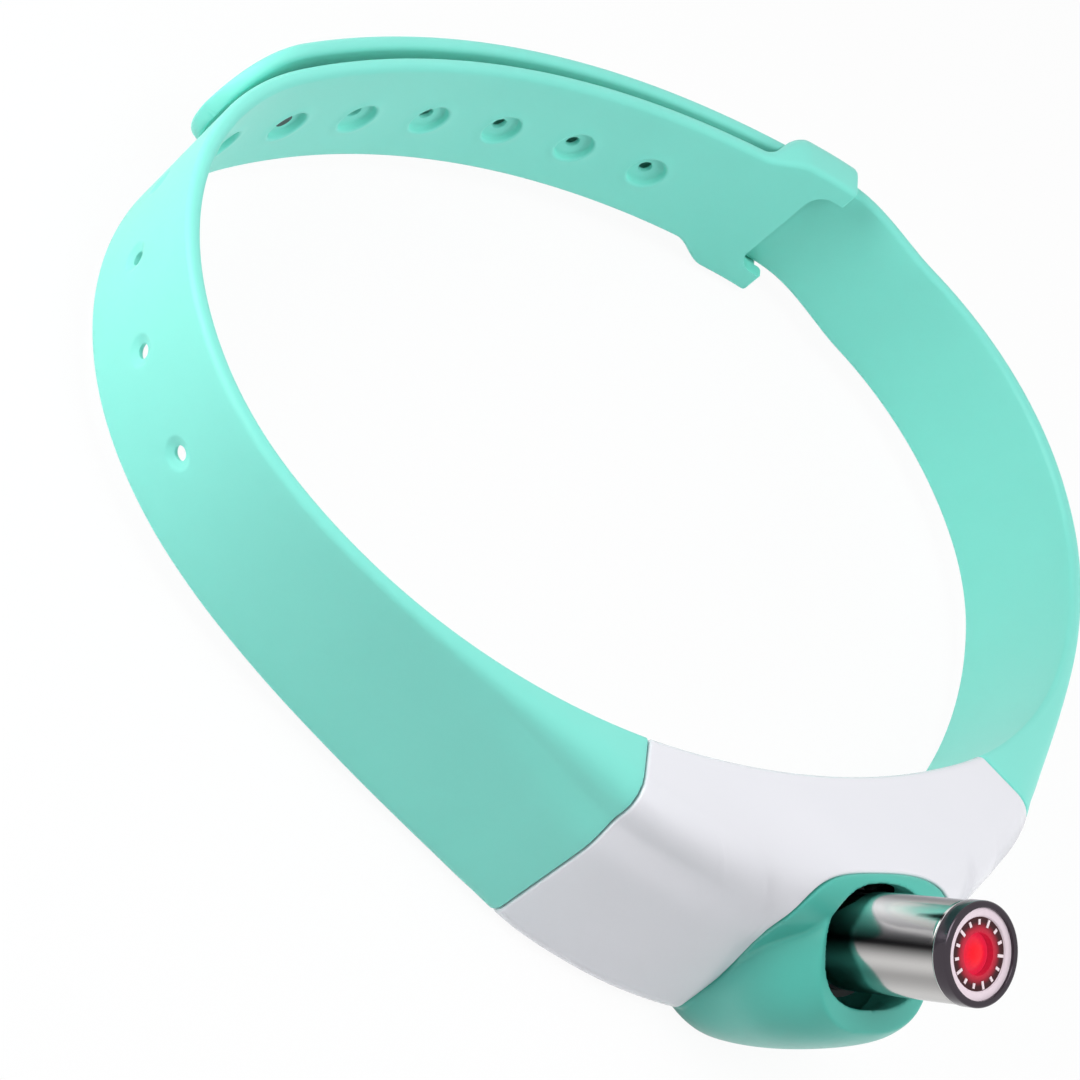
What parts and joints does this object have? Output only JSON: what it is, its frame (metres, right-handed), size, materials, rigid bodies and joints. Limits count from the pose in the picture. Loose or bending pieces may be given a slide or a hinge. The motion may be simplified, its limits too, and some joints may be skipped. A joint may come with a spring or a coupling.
{
  "type": "cat laser collar",
  "caption": "Silicone pet collar with a stud and keeper closure and a throat pod whose motor swings a small laser pointer barrel from side to side.",
  "frame": {"origin": "centre of the neck opening, in the mid plane of the band", "axes": "+Z through the opening towards the head, +X to the tongue side of the pod, -Y to the throat and the pod"},
  "size_m": [0.1024, 0.0984, 0.0295],
  "materials": {
    "barrel_chrome": "polished nickel plate",
    "bezel_chrome": "polished dark plate",
    "board": "green solder resist",
    "brass": "turned brass",
    "button_grey": "matt silicone",
    "cell_foil": "laminated foil pouch",
    "chip_black": "moulded epoxy",
    "clear_pipe": "clear polycarbonate",
    "cradle_black": "moulded nylon",
    "face_red": "red tinted plastic with a pale ring",
    "foam": "soft closed-cell foam",
    "gear_white": "moulded acetal",
    "led_white": "moulded resin",
    "lens_red": "clear red glass",
    "mint_shell": "smooth satin moulded plastic",
    "motor_steel": "drawn steel can",
    "seal_rubber": "soft matt silicone",
    "socket_steel": "deep-drawn steel shell",
    "steel": "plain zinc-coated steel",
    "strap_silicone": "matt mint silicone",
    "stud_dark": "hard dark plastic",
    "white_shell": "smooth semi-gloss moulded plastic",
    "wire_red": "vinyl insulation"
  },
  "bodies": {
    "collar": {"back_cover": "white_shell", "back_cover_screws": "steel", "battery_cell": "cell_foil", "battery_pad": "foam", "battery_wires": "wire_red", "board_parts": "chip_black", "board_screws": "steel", "button_switch": "chip_black", "circuit_board": "board", "controller_chip": "chip_black", "front_cover": "white_shell", "laser_wires": "wire_red", "left_strap": "strap_silicone", "light_pipe": "clear_pipe", "motor_body": "motor_steel", "motor_clip": "cradle_black", "motor_wires": "wire_red", "nose_cowl": "mint_shell", "pod_seal": "seal_rubber", "status_led": "led_white", "strap_pins": "steel", "tongue_strap": "strap_silicone", "usb_socket": "socket_steel"},
    "laser_head": {"laser_barrel": "barrel_chrome", "bezel_ring": "bezel_chrome", "face_plate": "face_red", "laser_lens": "lens_red", "laser_diode": "brass", "diode_board": "board", "laser_cradle": "cradle_black", "sector_gear": "gear_white", "pivot_pins": "steel"},
    "motor_rotor": {"motor_shaft": "steel", "motor_pinion": "gear_white"},
    "button": {"button_cap": "button_grey"},
    "tongue_end": {"tongue_tip": "strap_silicone", "closure_stud": "stud_dark"}
  },
  "joints": [
    {"name": "laser_swing", "type": "hinge", "parent": "collar", "child": "laser_head", "pos_m": [0, -0.04133, -0.00368], "axis": [0, 0, 1], "range_deg": [-7, 15]},
    {"name": "motor_spin", "type": "hinge", "parent": "collar", "child": "motor_rotor", "pos_m": [-0.008, -0.04133, -0.005], "axis": [0, 0, 1], "range_deg": [-60, 28]},
    {"name": "button_press", "type": "slide", "parent": "collar", "child": "button", "axis": [0, 0, 1], "range_m": [0, 0.0004], "stiffness_N_per_m": 2000},
    {"name": "tongue_peel", "type": "hinge", "parent": "collar", "child": "tongue_end", "pos_m": [-0.01832, 0.03939, 0], "axis": [0, 0, -1], "range_deg": [0, 30], "stiffness_Nm_per_rad": 0.01}
  ],
  "couplings": [
    {"joint": "motor_spin", "follows": "laser_swing", "ratio": -4}
  ]
}
